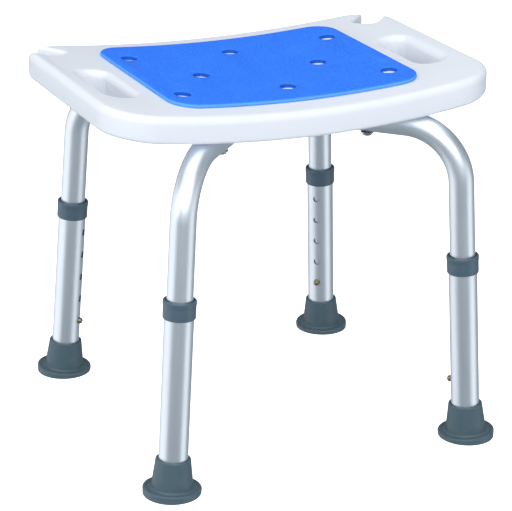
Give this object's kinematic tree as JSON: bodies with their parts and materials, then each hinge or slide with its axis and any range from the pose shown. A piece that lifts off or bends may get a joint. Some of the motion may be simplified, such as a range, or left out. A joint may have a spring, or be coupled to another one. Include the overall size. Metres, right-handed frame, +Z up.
{
  "type": "shower stool",
  "caption": "Backless shower stool: saddle-curved plastic seat with hand slots and a foam pad on four splayed, height-adjustable aluminium legs with rubber feet.",
  "frame": {"origin": "on the floor, under the middle of the four feet", "axes": "+Z up, +Y to the back, +X to the right seen from the front"},
  "size_m": [0.413, 0.3732, 0.3718],
  "materials": {
    "seat_plastic": "white blow-moulded HDPE, fine texture, satin",
    "pad_foam": "blue closed-cell EVA foam, fine matt texture",
    "upper_tube_aluminium": "satin anodised",
    "lower_tube_aluminium": "satin anodised",
    "grey_plastic": "slate grey moulded plastic",
    "grey_rubber": "slate grey moulded rubber",
    "zinc_steel": "zinc-plated",
    "spring_steel": "hardened strip",
    "brass": "turned, slightly dulled"
  },
  "bodies": {
    "seat_frame": {"seat_shell": "seat_plastic", "seat_pad": "pad_foam", "front_left_upper_tube": "upper_tube_aluminium", "front_left_end_plug": "grey_plastic", "front_left_inner_bolt": "zinc_steel", "front_left_outer_bolt": "zinc_steel", "front_left_inner_washer": "zinc_steel", "front_left_outer_washer": "zinc_steel", "front_left_inner_insert": "brass", "front_left_outer_insert": "brass", "front_left_snap_spring": "spring_steel", "front_right_upper_tube": "upper_tube_aluminium", "front_right_end_plug": "grey_plastic", "front_right_inner_bolt": "zinc_steel", "front_right_outer_bolt": "zinc_steel", "front_right_inner_washer": "zinc_steel", "front_right_outer_washer": "zinc_steel", "front_right_inner_insert": "brass", "front_right_outer_insert": "brass", "front_right_snap_spring": "spring_steel", "rear_left_upper_tube": "upper_tube_aluminium", "rear_left_end_plug": "grey_plastic", "rear_left_inner_bolt": "zinc_steel", "rear_left_outer_bolt": "zinc_steel", "rear_left_inner_washer": "zinc_steel", "rear_left_outer_washer": "zinc_steel", "rear_left_inner_insert": "brass", "rear_left_outer_insert": "brass", "rear_left_snap_spring": "spring_steel", "rear_right_upper_tube": "upper_tube_aluminium", "rear_right_end_plug": "grey_plastic", "rear_right_inner_bolt": "zinc_steel", "rear_right_outer_bolt": "zinc_steel", "rear_right_inner_washer": "zinc_steel", "rear_right_outer_washer": "zinc_steel", "rear_right_inner_insert": "brass", "rear_right_outer_insert": "brass", "rear_right_snap_spring": "spring_steel"},
    "front_left_lower_leg": {"front_left_lower_tube": "lower_tube_aluminium", "front_left_collar": "grey_plastic", "front_left_rubber_foot": "grey_rubber", "front_left_foot_washer": "zinc_steel"},
    "front_left_button": {"front_left_snap_button": "brass"},
    "front_right_lower_leg": {"front_right_lower_tube": "lower_tube_aluminium", "front_right_collar": "grey_plastic", "front_right_rubber_foot": "grey_rubber", "front_right_foot_washer": "zinc_steel"},
    "front_right_button": {"front_right_snap_button": "brass"},
    "rear_left_lower_leg": {"rear_left_lower_tube": "lower_tube_aluminium", "rear_left_collar": "grey_plastic", "rear_left_rubber_foot": "grey_rubber", "rear_left_foot_washer": "zinc_steel"},
    "rear_left_button": {"rear_left_snap_button": "brass"},
    "rear_right_lower_leg": {"rear_right_lower_tube": "lower_tube_aluminium", "rear_right_collar": "grey_plastic", "rear_right_rubber_foot": "grey_rubber", "rear_right_foot_washer": "zinc_steel"},
    "rear_right_button": {"rear_right_snap_button": "brass"}
  },
  "joints": [
    {"name": "front_left_height", "type": "slide", "parent": "seat_frame", "child": "front_left_lower_leg", "axis": [-0.0549, -0.0359, -0.9978], "range_m": [0, 0.1016], "deforming": ["front_left_snap_button", "front_left_snap_spring"]},
    {"name": "front_left_button_press", "type": "slide", "parent": "seat_frame", "child": "front_left_button", "axis": [-0.7171, -0.694, 0.0644], "range_m": [0, 0.0054], "stiffness_N_per_m": 700, "springref_m": -0.001},
    {"name": "front_right_height", "type": "slide", "parent": "seat_frame", "child": "front_right_lower_leg", "axis": [0.0549, -0.0359, -0.9978], "range_m": [0, 0.1016], "deforming": ["front_right_snap_button", "front_right_snap_spring"]},
    {"name": "front_right_button_press", "type": "slide", "parent": "seat_frame", "child": "front_right_button", "axis": [0.7171, -0.694, 0.0644], "range_m": [0, 0.0054], "stiffness_N_per_m": 700, "springref_m": -0.001},
    {"name": "rear_left_height", "type": "slide", "parent": "seat_frame", "child": "rear_left_lower_leg", "axis": [-0.0549, 0.0359, -0.9978], "range_m": [0, 0.1016], "deforming": ["rear_left_snap_button", "rear_left_snap_spring"]},
    {"name": "rear_left_button_press", "type": "slide", "parent": "seat_frame", "child": "rear_left_button", "axis": [-0.7023, 0.709, 0.0642], "range_m": [0, 0.0054], "stiffness_N_per_m": 700, "springref_m": -0.001},
    {"name": "rear_right_height", "type": "slide", "parent": "seat_frame", "child": "rear_right_lower_leg", "axis": [0.0549, 0.0359, -0.9978], "range_m": [0, 0.1016], "deforming": ["rear_right_snap_button", "rear_right_snap_spring"]},
    {"name": "rear_right_button_press", "type": "slide", "parent": "seat_frame", "child": "rear_right_button", "axis": [0.7023, 0.709, 0.0642], "range_m": [0, 0.0054], "stiffness_N_per_m": 700, "springref_m": -0.001}
  ]
}
